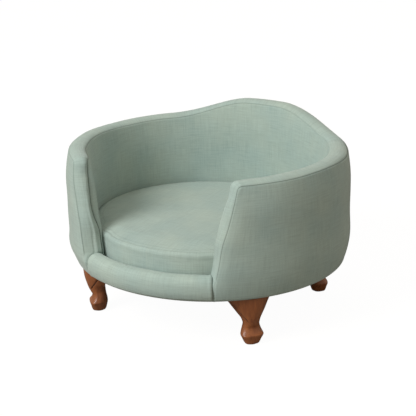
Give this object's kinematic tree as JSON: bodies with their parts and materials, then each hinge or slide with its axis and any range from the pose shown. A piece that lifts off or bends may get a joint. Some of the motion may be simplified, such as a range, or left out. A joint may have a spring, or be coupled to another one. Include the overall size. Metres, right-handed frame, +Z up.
{
  "type": "pet sofa bed",
  "caption": "Oval upholstered sofa bed for a small dog: a padded tub wall open at the front, a loose box cushion with a zip, and short carved cabriole legs.",
  "frame": {"origin": "on the floor under the middle of the oval body", "axes": "+X to the sitter's right as seen from the front, -Y to the open front, +Z up"},
  "size_m": [0.678, 0.6333, 0.4285],
  "materials": {
    "cover_cloth": "sage green plain linen weave with slubs, matt",
    "wadding": "soft polyurethane foam and fibre wadding",
    "lining": "thin black non-woven lining",
    "zip_tape": "woven tape with coil teeth",
    "birch": "sawn birch plywood and battens, unfinished",
    "hardboard": "thin bent hardboard",
    "walnut": "carved hardwood stained walnut, satin varnish",
    "steel": "zinc plated",
    "glide_plastic": "moulded black"
  },
  "bodies": {
    "sofa": {"base_board": "birch", "arm_post_left": "birch", "arm_post_right": "birch", "wall_ribs": "birch", "top_rail": "birch", "outer_panel": "hardboard", "inner_panel": "hardboard", "front_panel": "hardboard", "front_rail": "birch", "outer_padding": "wadding", "inner_padding": "wadding", "edge_padding": "wadding", "front_rail_padding": "wadding", "deck_pad": "wadding", "deck_cloth": "lining", "outer_cover": "cover_cloth", "inner_cover": "cover_cloth", "edge_strip": "cover_cloth", "front_rail_cover": "cover_cloth", "dust_cover": "lining", "dust_cover_staples": "steel", "leg_front_left": "walnut", "leg_front_right": "walnut", "leg_rear_left": "walnut", "leg_rear_right": "walnut", "leg_bolts": "steel", "tee_nuts": "steel", "foot_glides": "glide_plastic"},
    "cushion": {"cushion_foam": "wadding", "cushion_top": "cover_cloth", "cushion_border": "cover_cloth", "cushion_bottom": "cover_cloth", "cushion_zip": "zip_tape"},
    "zip_slider": {"zip_slider": "steel"}
  },
  "joints": [
    {"name": "cushion_lift", "type": "slide", "parent": "sofa", "child": "cushion", "axis": [0, 0, 1], "range_m": [0, 0.28]},
    {"name": "zip_slide", "type": "hinge", "parent": "cushion", "child": "zip_slider", "pos_m": [0, -0.03689, 0.1834], "axis": [0, 0, 1], "range_deg": [0, 68.5]}
  ]
}
